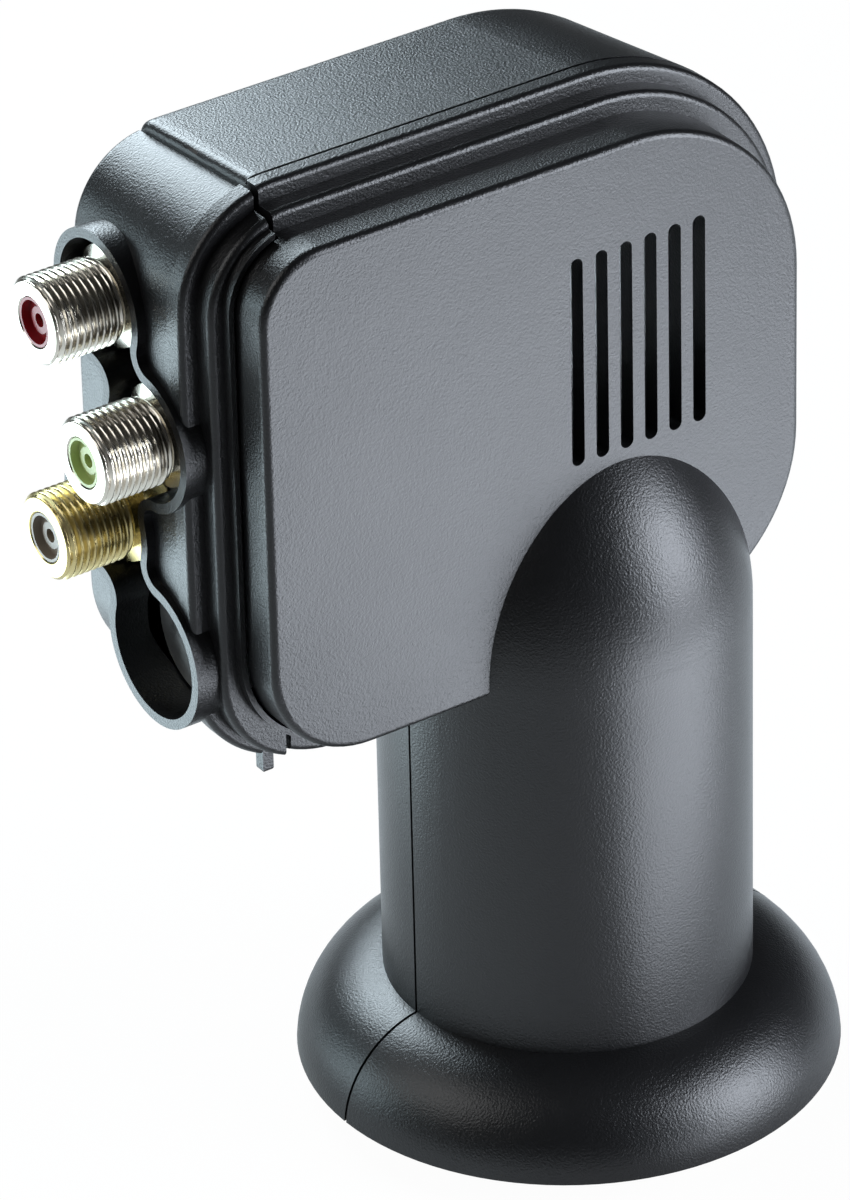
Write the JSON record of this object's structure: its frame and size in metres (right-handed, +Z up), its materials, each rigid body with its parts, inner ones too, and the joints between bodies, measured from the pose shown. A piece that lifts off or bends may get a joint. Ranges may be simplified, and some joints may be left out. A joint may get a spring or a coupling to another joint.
{
  "type": "satellite lnb",
  "caption": "Satellite dish low-noise block with a round clamp neck on its feed flange, a stepped box with vent slots and threaded coaxial sockets in a lobed collar on one end.",
  "frame": {"origin": "centre of the feed cap's outer face, on the axis of the clamp neck", "axes": "+Z up along the clamp neck away from the feed, -Y towards the front with the vent slots, -X the way the sockets point"},
  "size_m": [0.0852, 0.059, 0.1197],
  "materials": {
    "black_plastic": "moulded, fine spark-eroded grain",
    "cream_plastic": "moulded, smooth",
    "cast_alloy": "as cast",
    "nickel_plate": "nickel plated",
    "brass": "bright turned",
    "zinc_steel": "zinc plated",
    "seal_rubber": "matt",
    "red_insulator": "moulded",
    "green_insulator": "moulded",
    "grey_insulator": "moulded",
    "white_insulator": "turned",
    "board_laminate": "solder resist",
    "chip_resin": "moulded"
  },
  "bodies": {
    "root": {"front_shell": "black_plastic", "rear_shell": "black_plastic", "connector_cover": "black_plastic", "feed_cap": "cream_plastic", "feed_seal": "seal_rubber", "cast_chassis": "cast_alloy", "chassis_lid": "cast_alloy", "lid_gasket": "seal_rubber", "lid_screws": "zinc_steel", "circuit_board": "board_laminate", "straight_probe": "brass", "bent_probe": "brass", "probe_sleeves": "white_insulator", "connector_barrel_top": "nickel_plate", "connector_barrel_middle": "nickel_plate", "connector_barrel_bottom": "brass", "insulator_top": "red_insulator", "insulator_middle": "green_insulator", "insulator_bottom": "grey_insulator", "contact_top": "brass", "contact_middle": "brass", "contact_bottom": "brass", "connector_seals": "seal_rubber", "converter_chip": "chip_resin", "switch_chip": "chip_resin", "regulators": "chip_resin", "amplifier_transistors": "chip_resin", "crystal": "nickel_plate", "supply_chokes": "chip_resin"}
  },
  "joints": []
}
